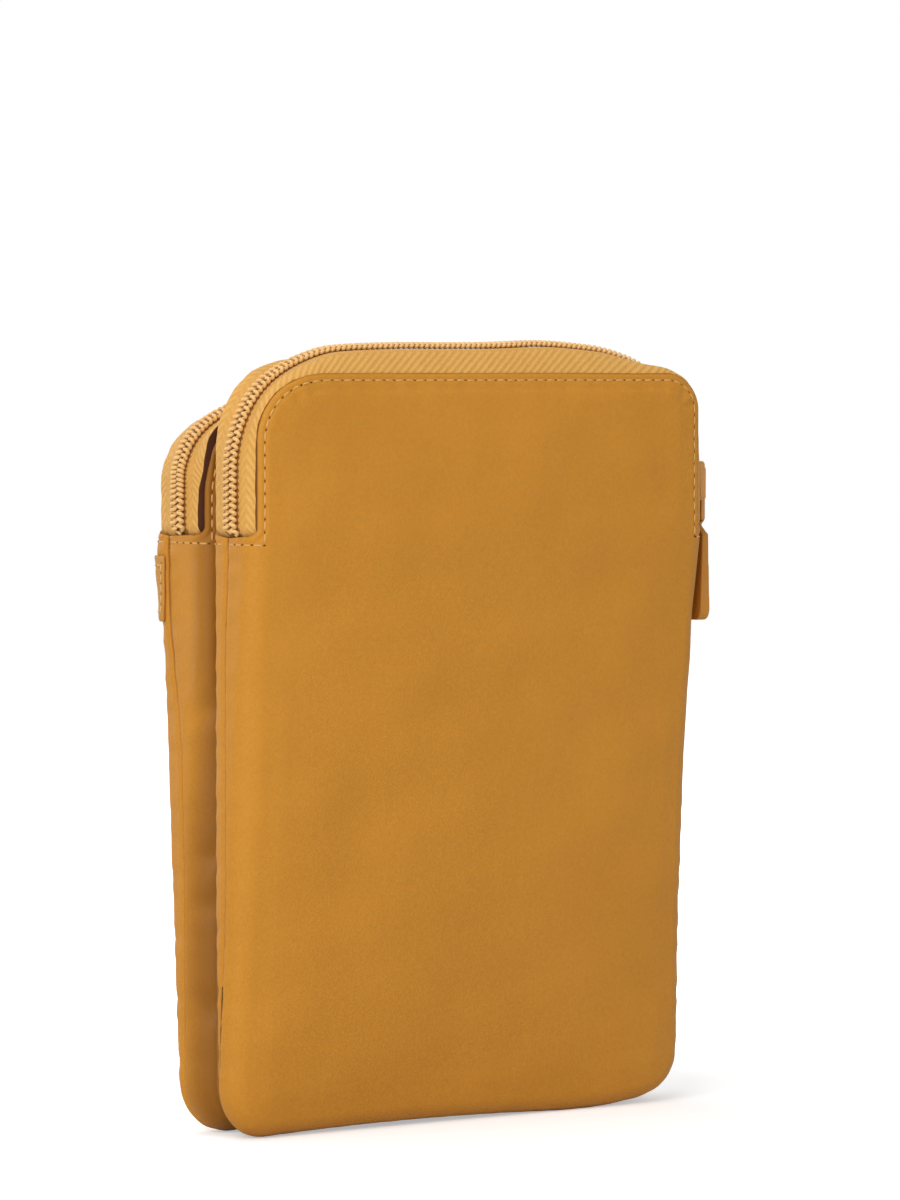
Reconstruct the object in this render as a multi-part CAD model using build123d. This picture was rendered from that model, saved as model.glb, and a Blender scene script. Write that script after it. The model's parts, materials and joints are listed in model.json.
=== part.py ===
from build123d import *
import os

# Neck pouch wallet: two upright zipped fabric pouches sewn back to back. Millimetres.
# +Z is up, the front pouch faces -Y, the zip sliders are on the +X side, and the origin is the
# middle of the base, between the two pouches. Every pouch is drawn as the front one, then the
# rear one is its mirror image in the XZ plane.

# Whole object
HALF_WIDTH = 66.5  # fabric body, middle to side
GAP = 0.5  # slip space between the two inner panels
DEPTH = 21.5  # one pouch, from the zip ends upwards
BASE_DEPTH = 13.0  # one pouch at its base
ZIP_END_HEIGHT = 141.0  # where each zip ends on both sides
BOTTOM_RADIUS = 16.0  # bottom corners of the outline
EDGE_ROUND = 3.2  # rounding between the panels and the sides
RIM = 2.75  # panel's edge turned from its face towards the zip
FRONT_RUN = 11.5  # straight zip from its end up to the top corner
REAR_RUN = 10.0
FRONT_CORNER = 32.5  # radius of the coil's outer side round a top corner
REAR_CORNER = 26.0

# Fabric
WALL = 1.0  # nylon panel with its backing
LINING_INSET = 2.2  # panel's outside to the lining's outside, past the seam allowances
LINING_THICKNESS = 0.4

# Zip, size 5
COIL_PITCH = 1.5
COIL_CREST = 0.9  # length of a turn along the zip, at its crest
COIL_ROOT = 0.35  # core cord that shows between two turns, above the tape
COIL_RISE = 1.0  # coil above its tape
COIL_HALF_CHAIN = 3.1
COIL_PART = 0.25  # coil row to the middle of the zip
TAPE_THICKNESS = 0.6
TAPE_INNER_EDGE = 1.2
TAPE_FLAT = 5.0  # the tape is flat from its inner edge to here
TAPE_TUCK = 0.4
TAPE_FALL = 1.6  # from the flat part down to the panel's edge
TUCK_FALL = 0.15
RIM_DROP = 0.4  # tape's flat part above the panel's side

# Slider
SLIDER_HALF_LENGTH = 5.25
SLIDER_NOSE_HALF = 4.7
SLIDER_TAIL_HALF = 4.2
PLATE = 1.0
PLATE_CLEAR = 0.3  # top plate above the coil
UNDER_CLEAR = 0.7  # bottom plate under the tape, for the bend of the corner
FLANGE = 0.8
FLANGE_CLEAR = 0.4  # flange above the tape
POST_HALF = 0.8
POST_LOW = -4.6
POST_HIGH = -1.7
COIL_STOP = 0.4  # coil's end above the post

# Crown, pull tab and puller
CROWN_HALF = 1.2
CROWN_REACH = 3.6
CROWN_ARCH = 1.9
CROWN_WALL = 1.0
BAR_RADIUS = 0.6
BAR_LOW = -1.7  # upper bar's height from the slider's middle
BAR_CLEAR = 0.3
TAB_LENGTH = 7.4  # bar to bar
TAB_HALF = 2.8
TAB_ARM = 1.1
PULLER_LENGTH = 25.0
PULLER_HALF = 4.7
PULLER_NECK = 1.4
PULLER_EYE = 1.5
PULLER_SHOULDER = 2.6
PULLER_THIN = 1.6
PULLER_THICK = 2.9
PULLER_INWARD = 0.3  # puller's middle plane, inwards of its bar

# Seam strip and strap loops
STRIP_WIDTH = 8.0
STRIP_INSET = 2.0
LOOP_HEIGHT = 15.5
LOOP_BELOW_ZIP = 6.5  # loop's upper edge below the zip's end
LOOP_THICKNESS = 1.0
LOOP_CLEAR = 0.05
LOOP_ARCH = 5.6  # band's middle line above the panel at the arch's crown
ARCH_OUTER = 57.0  # arch's feet, from the middle of the pouch
ARCH_INNER = 35.0
LOOP_END = 30.0

# Worked out from the sizes above
FACE = -(GAP / 2 + DEPTH)  # outer face of the front pouch
MIDDLE = -(GAP / 2 + DEPTH / 2)  # the zip's middle line
BASE_FACE = -(GAP / 2 + BASE_DEPTH)
ZIP_HALF = HALF_WIDTH + RIM_DROP  # tape's flat part, middle to side
TAPE_TURN = DEPTH / 2 - RIM  # where the tape goes under the panel's edge
FRONT_HEIGHT = ZIP_END_HEIGHT + FRONT_RUN + FRONT_CORNER  # to the top of the coil
REAR_HEIGHT = ZIP_END_HEIGHT + REAR_RUN + REAR_CORNER
FAR = 100.0


def block(x, y, z):
    """A box between three pairs of coordinates."""
    middle = [sum(pair) / 2 for pair in (x, y, z)]
    return Pos(*middle) * Box(*[abs(high - low) for low, high in (x, y, z)])


def outline(half_width, low, high, top_radius, bottom_radius):
    """A pouch's front view: a rectangle with its own top and bottom corner radii."""
    face = Pos(0, (low + high) / 2) * Rectangle(2 * half_width, high - low)
    face = fillet(face.vertices().group_by(Axis.Y)[-1], top_radius)
    return fillet(face.vertices().group_by(Axis.Y)[0], bottom_radius)


def pouch_form(height, corner, inset):
    """The solid shape of one pouch, every side moved inwards by inset."""
    drop = COIL_RISE + RIM_DROP
    face = outline(HALF_WIDTH - inset, inset, height - drop - inset,
                   corner - drop - inset, BOTTOM_RADIUS - inset)
    form = extrude(Plane.XZ.offset(GAP / 2 + inset) * face, DEPTH - 2 * inset)
    slope = Polyline((FACE + inset, ZIP_END_HEIGHT), (BASE_FACE + inset, 0),
                     (BASE_FACE + inset, -FAR), (-FAR, -FAR), (-FAR, ZIP_END_HEIGHT), close=True)
    form -= extrude(Plane.YZ * make_face(slope), FAR, both=True)
    outer = form.faces().filter_by(lambda f: f.normal_at().Y < -0.9)
    inner = form.faces().filter_by(lambda f: f.normal_at().Y > 0.9)
    fold = [e for e in outer[0].edges() if any(e.is_same(o) for o in outer[1].edges())]
    edges = [e for f in [*outer, *inner] for e in f.edges()
             if not any(e.is_same(o) for o in fold)]
    return fillet(edges, max(EDGE_ROUND - inset, LINING_THICKNESS / 2))


def panels(height, corner):
    """Outer panel, inner panel and flap: one fabric shell with the zip's window cut out."""
    shell = pouch_form(height, corner, 0) - pouch_form(height, corner, WALL)
    below = (-FAR, ZIP_END_HEIGHT)
    above = (ZIP_END_HEIGHT, 2 * FAR)
    wide = (-FAR, FAR)
    outer = shell & block(wide, (-FAR, MIDDLE), below)
    flap = shell & block(wide, (-FAR, MIDDLE - TAPE_TURN), above)
    inner = shell & (block(wide, (MIDDLE, 0), below)
                     + block(wide, (MIDDLE + TAPE_TURN, 0), above))
    return {"outer_panel": outer, "inner_panel": inner, "flap_panel": flap}


def linings(height, corner):
    """The lining bag, which runs up behind the zip, and the flap's own lining."""
    bag = (pouch_form(height, corner, LINING_INSET)
           - pouch_form(height, corner, LINING_INSET + LINING_THICKNESS))
    reach = LINING_INSET + 2 * LINING_THICKNESS
    wide = (-FAR, FAR)
    lining = bag & (block(wide, (-FAR, 0), (-FAR, ZIP_END_HEIGHT))
                    + block(wide, (-GAP / 2 - reach, 0), (ZIP_END_HEIGHT, 2 * FAR)))
    flap = bag & block(wide, (-FAR, FACE + reach), (ZIP_END_HEIGHT + WALL / 2, 2 * FAR))
    return {"lining": lining, "flap_lining": flap}


def zip_route(height, corner, end_height):
    """The zip's line along the tape, from its left end round both top corners and down to
    end_height on the right, drawn in the plane of the pouch's front view."""
    top = height - COIL_RISE
    return FilletPolyline((-ZIP_HALF, ZIP_END_HEIGHT), (-ZIP_HALF, top), (ZIP_HALF, top),
                          (ZIP_HALF, end_height), radius=corner - COIL_RISE)


def zip_sweep(height, corner, points, end_height):
    """A section of (outwards, forwards) points run along the zip."""
    route = Plane.XZ.offset(-MIDDLE) * zip_route(height, corner, end_height)
    start = Plane(origin=(-ZIP_HALF, MIDDLE, ZIP_END_HEIGHT), x_dir=(-1, 0, 0), z_dir=(0, 0, 1))
    return sweep(start * make_face(Polyline(*points, close=True)), path=route)


def tape_section(side):
    """Half of the zip's tape: flat by the coil, then falling to the panel's edge."""
    top = [(0, TAPE_INNER_EDGE), (0, TAPE_FLAT), (-TAPE_FALL, TAPE_TURN),
           (-TAPE_FALL - TUCK_FALL, TAPE_TURN + TAPE_TUCK)]
    under = [(u - TAPE_THICKNESS, v) for u, v in reversed(top)]
    return [(u, side * v) for u, v in top + under]


def coil_section(side):
    """One coil row as a D, flat on the tape."""
    edge = COIL_RISE / 3
    points = [(0, COIL_PART), (0, COIL_HALF_CHAIN), (COIL_RISE - edge, COIL_HALF_CHAIN),
              (COIL_RISE, COIL_HALF_CHAIN - edge), (COIL_RISE, COIL_PART + edge),
              (COIL_RISE - edge, COIL_PART)]
    return [(u, side * v) for u, v in points]


def coil_row(height, corner, side):
    """One row of the chain: turns across the row at the zip's pitch, standing on their core
    cord. The other row's turns are half a pitch further on. The row ends inside the slider."""
    end_height = height - corner + POST_HIGH + COIL_STOP
    route = zip_route(height, corner, end_height)
    turns = int(route.length / COIL_PITCH - 0.5)
    phase = 0.5 if side > 0 else 1.0

    def beside(along, out):
        """The point at a length along the route, moved out from the tape."""
        share = min(along / route.length, 1.0)
        ahead = route % share
        return route @ share + Vector(-ahead.Y, ahead.X) * out

    one_turn = ((-COIL_PITCH / 2, COIL_ROOT), (-COIL_CREST / 2, COIL_RISE), (COIL_CREST / 2, COIL_RISE))
    teeth = [beside(0, COIL_ROOT)]
    for turn in range(turns):
        middle = (turn + phase) * COIL_PITCH
        teeth += [beside(middle + along, out) for along, out in one_turn if middle + along > 0]
    teeth.append(beside((turns + phase - 0.5) * COIL_PITCH, COIL_ROOT))
    teeth.append(beside(route.length, COIL_ROOT))
    back = [beside(route.length * turn / turns, -COIL_RISE) for turn in range(turns, -1, -1)]
    comb = Plane.XZ.offset(-MIDDLE) * make_face(Polyline(*teeth, *back, close=True))
    comb = extrude(comb, DEPTH, both=True)
    return zip_sweep(height, corner, coil_section(side), end_height) & comb


def zip_parts(height, corner):
    """The two tapes and the two coil rows."""
    parts = {}
    for name, side in (("outer", 1), ("inner", -1)):
        parts[name + "_tape"] = zip_sweep(height, corner, tape_section(side), ZIP_END_HEIGHT)
        parts[name + "_coil"] = coil_row(height, corner, side)
    return parts


def slider_parts():
    """Slider body, crown, pull tab and puller, about the slider's middle: x outwards from the
    tape's flat part, y across the zip, z along it."""
    top_under = COIL_RISE + PLATE_CLEAR
    bottom_top = -TAPE_THICKNESS - UNDER_CLEAR
    shield = Polyline((-SLIDER_NOSE_HALF, -SLIDER_HALF_LENGTH), (SLIDER_NOSE_HALF, -SLIDER_HALF_LENGTH),
                      (SLIDER_TAIL_HALF, SLIDER_HALF_LENGTH), (-SLIDER_TAIL_HALF, SLIDER_HALF_LENGTH),
                      close=True)
    shield = make_face(shield)
    shield = fillet(shield.vertices(), PLATE)
    inside = offset(shield, -FLANGE)
    top = extrude(Plane.YZ.offset(top_under) * shield, PLATE)
    skirt = extrude(Plane.YZ.offset(FLANGE_CLEAR) * (shield - inside), top_under - FLANGE_CLEAR)
    mouths = block((0, top_under), (-COIL_HALF_CHAIN - PLATE_CLEAR, COIL_HALF_CHAIN + PLATE_CLEAR),
                   (-FAR, FAR))
    under = extrude(Plane.YZ.offset(bottom_top - PLATE) * shield, PLATE)
    post_middle = (POST_LOW + POST_HIGH) / 2
    post = make_face(Polyline((0, POST_LOW), (POST_HALF, post_middle), (0, POST_HIGH),
                              (-POST_HALF, post_middle), close=True))
    post = extrude(Plane.YZ.offset(bottom_top) * post, top_under - bottom_top)
    body = top + (skirt - mouths) + under + post

    crown_base = top_under + PLATE
    crown_top = crown_base + CROWN_ARCH + CROWN_WALL
    crown = block((crown_base, crown_top), (-CROWN_HALF, CROWN_HALF), (-CROWN_REACH, CROWN_REACH))
    crown = fillet(crown.edges().filter_by(Axis.Y).sort_by(Axis.X)[-2:], CROWN_WALL)
    crown -= block((crown_base, crown_base + CROWN_ARCH), (-CROWN_HALF, CROWN_HALF),
                   (CROWN_WALL - CROWN_REACH, CROWN_REACH - CROWN_WALL))

    bar = crown_base + CROWN_ARCH / 2
    across = Rot(X=90)
    low_bar = BAR_LOW - TAB_LENGTH
    bars = [Pos(bar, 0, z) * across * Cylinder(BAR_RADIUS, 2 * TAB_HALF) for z in (BAR_LOW, low_bar)]
    arms = [block((bar - BAR_RADIUS, bar + BAR_RADIUS), (y, y + TAB_ARM), (low_bar, BAR_LOW))
            for y in (-TAB_HALF, TAB_HALF - TAB_ARM)]
    tab = bars[0] + bars[1] + arms[0] + arms[1]

    middle = bar - PULLER_INWARD
    wide_top = low_bar - PULLER_SHOULDER
    foot = low_bar - PULLER_LENGTH
    side = make_face(Polyline((middle - PULLER_THIN / 2, low_bar), (middle + PULLER_THIN / 2, low_bar),
                              (middle + PULLER_THICK / 2, foot), (middle - PULLER_THICK / 2, foot),
                              close=True))
    front = make_face(Polyline((-PULLER_NECK, low_bar), (PULLER_NECK, low_bar),
                               (PULLER_NECK, wide_top + PULLER_NECK / 2),
                               (PULLER_HALF, wide_top - PULLER_NECK), (PULLER_HALF, foot),
                               (-PULLER_HALF, foot), (-PULLER_HALF, wide_top - PULLER_NECK),
                               (-PULLER_NECK, wide_top + PULLER_NECK / 2), close=True))
    front = fillet(front.vertices().group_by(Axis.Y)[0], PULLER_THICK)
    puller = extrude(Plane.XZ * side, FAR / 2, both=True) & extrude(Plane.YZ * front, FAR / 2, both=True)
    eye_length = 2 * PULLER_NECK
    puller += Pos(bar, 0, low_bar) * across * Cylinder(PULLER_EYE, eye_length)
    puller -= Pos(bar, 0, low_bar) * across * Cylinder(BAR_RADIUS + BAR_CLEAR, eye_length)
    return {"slider_body": body, "slider_crown": crown, "pull_tab": tab, "puller": puller}


def pouch(height, corner):
    """Every piece of one pouch, in the front pouch's place."""
    parts = {**panels(height, corner), **linings(height, corner), **zip_parts(height, corner)}
    seat = Pos(ZIP_HALF, MIDDLE, height - corner)
    parts.update({name: seat * piece for name, piece in slider_parts().items()})
    return parts


def joining_strip():
    """The strip between the two inner panels, sewn along both sides and the base."""
    top = FRONT_HEIGHT
    outer = outline(HALF_WIDTH - STRIP_INSET, 0, top, BOTTOM_RADIUS, BOTTOM_RADIUS)
    inner = outline(HALF_WIDTH - STRIP_INSET - STRIP_WIDTH, STRIP_WIDTH, top,
                    BOTTOM_RADIUS / 2, BOTTOM_RADIUS / 2)
    strip = extrude(Plane.XZ * (outer - inner), GAP / 2, both=True)
    return strip & block((-FAR, FAR), (-FAR, FAR), (-FAR, ZIP_END_HEIGHT))


def strap_loop():
    """The left loop: a band from the seam beside the rear panel round the panel's edge, arched
    off it for a strap to pass down behind, and sewn down again further in."""
    low = ZIP_END_HEIGHT - LOOP_BELOW_ZIP - LOOP_HEIGHT
    lean = (DEPTH - BASE_DEPTH) / ZIP_END_HEIGHT
    stand_off = LOOP_CLEAR + LOOP_THICKNESS / 2
    round_edge = EDGE_ROUND + stand_off
    side = -HALF_WIDTH - stand_off
    back = GAP / 2 + BASE_DEPTH + lean * low + stand_off
    turn = RadiusArc((side, back - round_edge), (side + round_edge, back), round_edge)
    flat = Line(turn @ 1, (-ARCH_OUTER, back))
    arch = ThreePointArc(flat @ 1, (-(ARCH_OUTER + ARCH_INNER) / 2, back + LOOP_ARCH), (-ARCH_INNER, back))
    foot = Line(arch @ 1, (-LOOP_END, back))
    middle_line = Wire([turn, flat, arch, foot])
    band = make_face(offset(middle_line, LOOP_THICKNESS / 2, side=Side.BOTH))
    return extrude(Plane.XY.offset(low) * band, LOOP_HEIGHT, dir=(0, lean, 1))


def main():
    os.makedirs("parts", exist_ok=True)
    pieces = {"front_" + name: piece for name, piece in pouch(FRONT_HEIGHT, FRONT_CORNER).items()}
    for name, piece in pouch(REAR_HEIGHT, REAR_CORNER).items():
        pieces["rear_" + name] = mirror(piece, about=Plane.XZ)
    pieces["joining_strip"] = joining_strip()
    pieces["left_strap_loop"] = strap_loop()
    pieces["right_strap_loop"] = mirror(strap_loop(), about=Plane.YZ)
    for name, piece in pieces.items():
        export_step(piece, f"parts/{name}.step")


main()
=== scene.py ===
import json
import math

import bpy
import numpy as np
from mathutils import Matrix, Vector
from mathutils.kdtree import KDTree


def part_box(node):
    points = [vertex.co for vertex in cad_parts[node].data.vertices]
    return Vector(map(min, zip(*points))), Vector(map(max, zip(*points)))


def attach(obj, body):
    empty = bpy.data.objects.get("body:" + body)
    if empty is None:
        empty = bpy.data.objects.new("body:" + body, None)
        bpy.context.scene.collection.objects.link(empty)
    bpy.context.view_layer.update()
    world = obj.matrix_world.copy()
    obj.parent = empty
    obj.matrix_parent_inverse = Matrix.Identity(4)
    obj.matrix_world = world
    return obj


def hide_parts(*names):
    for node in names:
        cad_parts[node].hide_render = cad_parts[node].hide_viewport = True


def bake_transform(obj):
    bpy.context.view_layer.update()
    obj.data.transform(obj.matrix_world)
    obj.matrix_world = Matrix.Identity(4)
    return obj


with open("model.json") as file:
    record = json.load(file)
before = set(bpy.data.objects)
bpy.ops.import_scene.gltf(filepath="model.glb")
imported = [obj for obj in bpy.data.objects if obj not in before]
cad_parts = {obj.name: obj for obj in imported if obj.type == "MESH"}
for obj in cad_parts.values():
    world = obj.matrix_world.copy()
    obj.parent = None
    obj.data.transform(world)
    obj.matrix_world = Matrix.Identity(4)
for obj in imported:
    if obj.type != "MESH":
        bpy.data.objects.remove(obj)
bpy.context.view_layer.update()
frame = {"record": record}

# Neck pouch wallet: the visual model round the CAD frame. Lengths are in millimetres until a mesh
# is made. Each pouch is drawn once in its own terms: x to the right, z up, and v across the zip,
# from the zip's middle plane out towards the pouch's outer face. Its panels are made of section
# lines, one after the other round its outline. Each line crosses the side and turns on to the face,
# and "along" is the length on it from the zip's middle plane, unsigned for both panels.

MM = 0.001
CM = 10.0  # the unit of the woven cloth's UV map
HALF_PI, FULL_TURN = math.pi / 2, 2 * math.pi
ZIP_MARGIN = 0.4  # tape's flat part outside the panels' side
BOTTOM_RADIUS = 12.5
FACE_RING = 11.0  # from the outline in to the last ring that keeps its shape
PILLOW_REACH = 15.0  # how soon a face swells, inwards from its edge
RING_GROWTH = 0.33  # share of the face's swelling at FACE_RING, the same on every line
FINE_RINGS, COARSE_RINGS = (8, 22, 14, 20), (5, 13, 9, 20)  # on the side, the edge, the face and its middle
WALL_BLEND = 7.0  # how widely a face's four slopes run into each other
MEDIAL_LOW, MEDIAL_HIGH = 62.0, 66.0  # ends of the face's middle line, from its base and its top
WINDOW_RISE = 1.9  # height of the rounded corner of the opening at the zip's end
HEM = 0.42  # half the thickness of a folded edge
HEM_UNDER, SEAM_UNDER = 1.1, -0.7  # how far its underside runs back in; at the side seam it runs on outwards
STITCH_IN = 1.8  # topstitch, in from a folded edge
STITCH_PITCH = 2.95
STITCH_LENGTH = 2.05
STITCH_RADIUS = 0.23
STITCH_STEPS, STITCH_SIDES, HOLE_SIDES = 7, 6, 8
NEEDLE_HOLE = 0.42
U_ROW = 2.0  # topstitch row below the zip's end
FLAT_TAPE = 3.2
TAPE_THICKNESS = 0.45
TAPE_START = 0.25  # tape's own edge, from the zip's middle
TAPE_UNDER = 0.9  # what the tape reaches past the folded edge
TAPE_COLUMNS = (6, 20, 8)  # on the flat part, on to the shaded strip, and across that
BEHIND_COIL = 1.2  # the painted shade between the coil's turns reaches further on the tapes behind it
ZIP_UNDER = 2.4  # the zip runs on below its end, under the cloth
ZIP_DIP = 2.1  # how deep it dives there
COIL_RISE = 1.0
COIL_PITCH = 1.5
COIL_FIRST = 2.5  # where the first turn starts, along the zip
COIL_MIDDLE = 1.32  # a turn's middle, from the zip's own middle
COIL_SWING = 0.62
COIL_LEVEL = 0.84  # a turn's middle, above the tape
COIL_LOFT = 0.38
COIL_APART = 0.4  # how far each row moves out below the slider
TURN_POINTS, TUBE_POINTS = 14, 7
FILAMENT = 0.46
BAND_HALF = 0.38
BAND_OFF = BAND_HALF + 0.06  # band's middle above the cloth
BAND_LIFT = 1.3
BAND_END = 31.0  # where the band ends on the rear face
BAND_ROWS, SIDE_POINTS, FACE_POINTS = 9, 26, 30
TUNNEL_END, TUNNEL_START, TUNNEL_SLOPE = 35.0, 58.0, 6.0  # from the pouch's middle
ARCH_RISE = 4.6
TACK_IN, TACK_PITCH, TACK_LENGTH, TACK_HOLE = 2.3, 2.45, 1.75, 0.3
STRIP_HALF = 0.55
FILL = 0.5  # of the padded cloths
NEARER = 0.15  # castings, towards the tape

# Radii of the top corners, left and right, of each zip's line and each panel.
CORNERS = {"front_zip": (28.3, 31.5), "front_outer": (20.5, 13.5), "front_inner": (22.5, 25.0),
           "rear_zip": (20.5, 25.0), "rear_outer": (20.5, 20.5), "rear_inner": (14.0, 17.0)}
# v of each outer face's edge at the base, and what it gains per millimetre up to the zip's end.
LEAN = {"front": (-1.4, 0.0685), "rear": (2.6, 0.0603)}
# Where the cloth's edge leaves the side seam at the zip's end.
WINDOW_CORNER = {"front_outer": 4.8, "front_inner": 6.4, "rear_outer": 9.0, "rear_inner": 5.0}
# How the tape meets each panel: share of the panel's own rounding, how deep it dives under the
# folded edge, how far before the edge it begins to, and how wide the shaded strip beside the edge
# is. The rear pouch's inner tape gapes away from its panel instead, and drops at once.
TAPE_TUCK = {"front_outer": (1.0, 1.1, 0.5, 0.65), "front_inner": (0.4, 1.6, 1.2, 0.4),
             "rear_outer": (0.0, 1.7, 1.3, 0.15), "rear_inner": (0.2, 2.7, 0.0, 1.8)}
BAG_INSET = {"front": 1.9, "rear": 3.2}  # clear of the tapes' edges
FLAP_INSET = 1.9
# Heights, depths and reaches of the soft creases across the rear pouch's side, near the front pouch.
CREASES = ((101.0, 1.3, 2.6), (67.0, 1.5, 2.4), (55.5, 1.1, 2.2), (31.0, 1.5, 3.6))
# Places, reaches and heights of the swells and dips along the front pouch's crest.
CREST = ((21.0, 12.0, 0.6), (44.0, 9.0, -0.6), (-49.0, 10.0, -1.0))
STRIP_DEPTHS = (2.6, 2.9, 3.6, 4.6, 6.2, 7.9, 8.6)  # rows of the joining strip, in from the outline


# -------- sizes read from the frame

def node_box(node):
    low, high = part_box(node)
    return np.array(low) / MM, np.array(high) / MM


def joint_place(name):
    joint = next(j for j in frame["record"]["behaviour"]["joints"] if j["name"] == name)
    return np.array(joint["pos_m"]) / MM


class Pouch:
    """The sizes of one pouch."""

    def __init__(self, side, sign):
        self.side, self.sign = side, sign
        coil_low, coil_high = node_box(f"{side}_outer_coil")
        panel_low, panel_high = node_box(f"{side}_inner_panel")
        _, slider_y, self.slider_z = joint_place(f"{side}_slider_travel")
        self.middle = abs(slider_y)
        self.fold_y = joint_place(f"{side}_flap_fold")[1]
        self.zip_end, self.height = coil_low[2], coil_high[2]
        self.top = self.height - COIL_RISE - ZIP_MARGIN
        self.half = panel_high[0]
        self.zip_half = self.half + ZIP_MARGIN
        self.inner = min(abs(panel_low[1]), abs(panel_high[1])) - self.middle  # inner face, as v

    def place(self, x, v, z):
        """Points of the whole object, in millimetres."""
        return np.stack([x, self.sign * (self.middle + v), z], -1)


FRONT, REAR = Pouch("front", -1), Pouch("rear", 1)


# -------- curves and lines

def smooth(t):
    """0 up to t = 0, 1 from t = 1, and an even curve between."""
    t = np.clip(t, 0, 1)
    return t * t * (3 - 2 * t)


def ramp(t, start, length):
    """A smooth step up that begins at start, or one down to it where the length is negative."""
    return smooth((t - start) / length)


def bell(t, middle, reach):
    return np.exp(-((t - middle) / reach) ** 2)


def unit(vectors):
    return vectors / np.maximum(np.linalg.norm(vectors, axis=-1, keepdims=True), 1e-9)


def run_of(points):
    """The length at each point of a polyline, or of each row of a grid."""
    gaps = np.linalg.norm(np.diff(points, axis=-2), axis=-1)
    return np.concatenate([np.zeros(gaps.shape[:-1] + (1,)), np.cumsum(gaps, -1)], -1)


def circle(count):
    """Angles once round."""
    return np.arange(count) * FULL_TURN / count


def between(at, places, rows):
    """Rows of numbers that belong to places, interpolated at other places."""
    return np.stack([np.interp(at, places, column) for column in rows.T], -1)


def search_tree(points):
    tree = KDTree(len(points))
    for k, point in enumerate(points):
        tree.insert(point, k)
    tree.balance()
    return tree


def nearest(points, line):
    """Distance of each point to a polyline, and the length along it there."""
    run = run_of(line)
    at = np.linspace(0, run[-1], max(int(run[-1] / 0.2), 2))
    tree = search_tree(between(at, run, line))
    found = [tree.find(p) for p in points]
    return np.array([f[2] for f in found]), at[[f[1] for f in found]]


def opened(points):
    """A closed row of points, started anew after its widest gap."""
    return np.roll(points, -1 - np.argmax(np.linalg.norm(np.diff(points, axis=0), axis=1)), 0)


RANDOM = np.random.default_rng(7)
WAVES = [RANDOM.uniform((0.012, 0, 0, 0.4), (0.06, FULL_TURN, FULL_TURN, 1.0)) for _ in range(14)]


def ripple(x, z, seed):
    """A soft uneven field between about -1 and 1."""
    total = np.zeros_like(x)
    for k, (pace, heading, phase, size) in enumerate(WAVES):
        total += size * np.sin(FULL_TURN * pace * (x * math.cos(heading) + z * math.sin(heading))
                               + phase + seed * (k + 1))
    return total / 3.2


def pucker(length, seed):
    """Uneven waves along a seam, between about -1 and 1."""
    waves = ((7.3, 1.0, 1.0), (4.9, 2.1, 0.7), (13.7, 0.7, 0.5))
    return sum(size * np.sin(FULL_TURN * length / wave + pace * seed) for wave, pace, size in waves) / 1.7


def side_seam(p, z):
    """v of the seam down the pouch's side."""
    if p.side == "front":
        return -7.4 + 3.2 * ramp(z, 0.0, 62.0) + 1.2 * ramp(z, 113.0, 24.0)
    return -0.6 + 0.9 * ramp(z, 50.0, 40.0) + 5.9 * ramp(z, 84.0, 46.0)


def settle(p, points):
    """The rear pouch's left shoulder sags and its side has soft creases, the front one's crest is
    arched and its right side narrows a little downwards, and both bases lift slightly between the
    corners that they stand on."""
    x, y, z = (points[..., k].copy() for k in range(3))
    if p.side == "rear":
        points[..., 2] -= 5.3 * bell(x, -55.0, 17.0) * ramp(z, 149.0, 14.0)
        slack = ramp(np.abs(y), 11.0, -7.0) * ramp(np.abs(x), 52.0, 14.0) * np.sign(x)
        for height, depth, reach in CREASES:
            points[..., 0] -= slack * depth * bell(z + 0.35 * y, height, reach)
    else:
        points[..., 0] -= 0.9 * ramp(x, 30.0, 34.0) * ramp(z, 138.0, -24.0) * ramp(z, 10.0, 40.0)
        arch = 0.35 * ramp(np.abs(x), 40.0, -24.0)
        arch = arch + sum(height * bell(x, place, reach) for place, reach, height in CREST)
        behind = y + p.middle
        droop = 0.9 * bell(x, -47.0, 8.0) * ramp(behind, 0.0, 5.0)
        points[..., 2] += ramp(z, 168.0, 11.0) * (arch * ramp(np.abs(behind), 9.0, -5.0) - droop)
        points[..., 2] += 1.3 * bell(x, 57.0, 9.0) * (1 - ramp(z, 0.0, 18.0))
    points[..., 2] += 1.1 * (1 - ramp(z, 0.0, 30.0)) * np.clip(1 - ((x + 14.0) / 46.0) ** 2, 0, 1)
    return points


# -------- meshes

def link(name, data):
    """A new object in the scene."""
    made = bpy.data.objects.new(name, data)
    bpy.context.scene.collection.objects.link(made)
    return made


def new_object(name, points, faces, materials, marks=None):
    """A smooth mesh object from points in millimetres. The marks say which material a face has."""
    mesh = bpy.data.meshes.new(name)
    mesh.from_pydata((np.asarray(points).reshape(-1, 3) * MM).tolist(), [], faces)
    mesh.validate()
    mesh.polygons.foreach_set("use_smooth", [True] * len(mesh.polygons))
    for material in materials:
        mesh.materials.append(material)
    if marks is not None:
        mesh.polygons.foreach_set("material_index", marks)
    mesh.update()
    return link(name, mesh)


def grid_faces(rows, columns, wrap=False, flip=False):
    index = np.arange(rows * columns).reshape(rows, columns)
    if wrap:
        index = np.concatenate([index, index[:1]])
    corners = index[:-1, :-1], index[:-1, 1:], index[1:, 1:], index[1:, :-1]
    return np.stack(corners[::-1] if flip else corners, -1).reshape(-1, 4).tolist()


def tube_faces(rings, ring, base=0):
    """Faces of a tube of rings of points that starts at the point called base, with both ends closed."""
    faces = [(base + i * ring + k, base + (i + 1) * ring + k, base + (i + 1) * ring + (k + 1) % ring,
              base + i * ring + (k + 1) % ring) for i in range(rings - 1) for k in range(ring)]
    last = base + (rings - 1) * ring
    return faces + [tuple(range(base, base + ring)), tuple(range(last, last + ring))[::-1]]


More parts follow.
